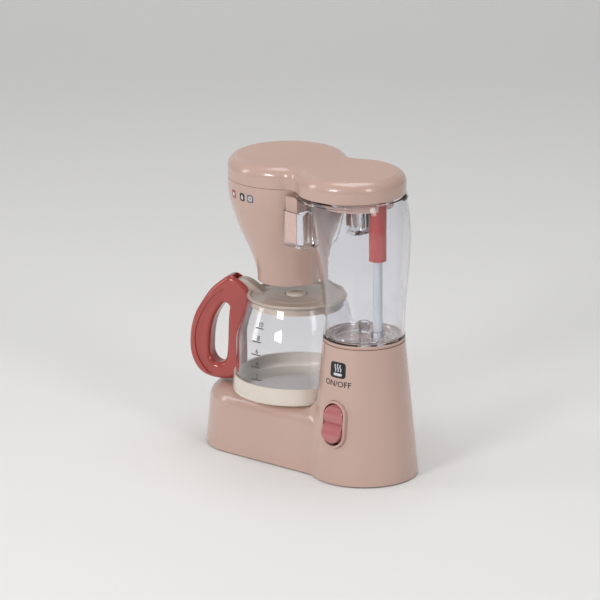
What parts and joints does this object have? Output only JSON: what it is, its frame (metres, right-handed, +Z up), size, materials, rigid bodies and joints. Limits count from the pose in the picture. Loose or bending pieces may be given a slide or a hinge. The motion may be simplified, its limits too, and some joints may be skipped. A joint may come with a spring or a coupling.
{
  "type": "toy coffee maker",
  "caption": "Toy drip coffee maker with a clear water tank on a pump tower, a tulip brew head under one long cover, and a clear carafe with hinged lid.",
  "frame": {"origin": "on the floor under the middle of the overall length and depth", "axes": "+X from the carafe towards the water tower, -Y the front with the switch, +Z up"},
  "size_m": [0.1871, 0.0934, 0.222],
  "materials": {
    "cell_jacket": "printed sleeve",
    "clear_carafe": "clear styrene",
    "clear_tank": "clear styrene",
    "clear_tube": "frosted clear moulding",
    "contact_nickel": "nickel plated",
    "cream": "glossy cream moulding",
    "foot_rubber": "matt",
    "inner_black": "matt",
    "inner_white": "satin",
    "lid_cream": "glossy stone-cream moulding",
    "pink_gloss": "glossy dusty pink moulding",
    "pink_matte": "satin dusty pink moulding",
    "red_gloss": "glossy brick red moulding",
    "screw_steel": "bright zinc",
    "seal_rubber": "soft, matt",
    "switch_rose": "glossy rose moulding",
    "wire_red": "insulated wire"
  },
  "bodies": {
    "base": {"body_shell": "pink_gloss", "base_plate": "pink_matte", "rubber_feet": "foot_rubber", "base_screws": "screw_steel", "batteries": "cell_jacket", "battery_contacts": "contact_nickel", "switch_bezel": "pink_gloss", "switch_body": "inner_black", "pump_deck": "pink_matte", "tank_seal": "seal_rubber", "pump_housing": "inner_white", "pump_motor": "contact_nickel", "lead_wires": "wire_red"},
    "rocker": {"switch_rocker": "switch_rose"},
    "impeller": {"impeller": "inner_white"},
    "battery_cover": {"battery_door": "pink_matte", "door_screw": "screw_steel"},
    "tank": {"tank": "clear_tank", "riser_tube": "clear_tube"},
    "head": {"brew_head": "pink_gloss", "drip_nozzle": "inner_white"},
    "cover": {"top_cover": "pink_gloss", "water_pipe": "clear_tube", "tube_sleeve": "red_gloss"},
    "carafe": {"carafe_glass": "clear_carafe", "carafe_base": "cream", "carafe_handle": "red_gloss", "lid_pin": "screw_steel"},
    "lid": {"carafe_lid": "lid_cream"},
    "button": {"lid_button": "cream"}
  },
  "joints": [
    {"name": "switch_rock", "type": "hinge", "parent": "base", "child": "rocker", "pos_m": [0.05898, -0.03206, 0.04424], "axis": [0.9903, 0.1392, 0], "range_deg": [0, 16]},
    {"name": "impeller_spin", "type": "hinge", "parent": "base", "child": "impeller", "pos_m": [0.05448, 0, 0.0845], "axis": [0, 0, 1], "continuous": true},
    {"name": "battery_cover_out", "type": "slide", "parent": "base", "child": "battery_cover", "axis": [0, 0, -1], "range_m": [0, 0.02]},
    {"name": "tank_lift", "type": "slide", "parent": "base", "child": "tank", "axis": [0, 0, 1], "range_m": [0, 0.025]},
    {"name": "head_lift", "type": "slide", "parent": "tank", "child": "head", "axis": [0, 0, 1], "range_m": [0, 0.045]},
    {"name": "cover_lift", "type": "slide", "parent": "head", "child": "cover", "axis": [0, 0, 1], "range_m": [0, 0.06]},
    {"name": "carafe_out", "type": "slide", "parent": "base", "child": "carafe", "axis": [-0.9063, -0.4226, 0], "range_m": [0, 0.14]},
    {"name": "lid_hinge", "type": "hinge", "parent": "carafe", "child": "lid", "pos_m": [-0.05433, -0.01754, 0.1174], "axis": [0.4226, -0.9063, 0], "range_deg": [0, 5.5]},
    {"name": "button_press", "type": "slide", "parent": "lid", "child": "button", "axis": [0, 0, -1], "range_m": [0, 0.002], "stiffness_N_per_m": 200, "springref_m": -0.002}
  ]
}
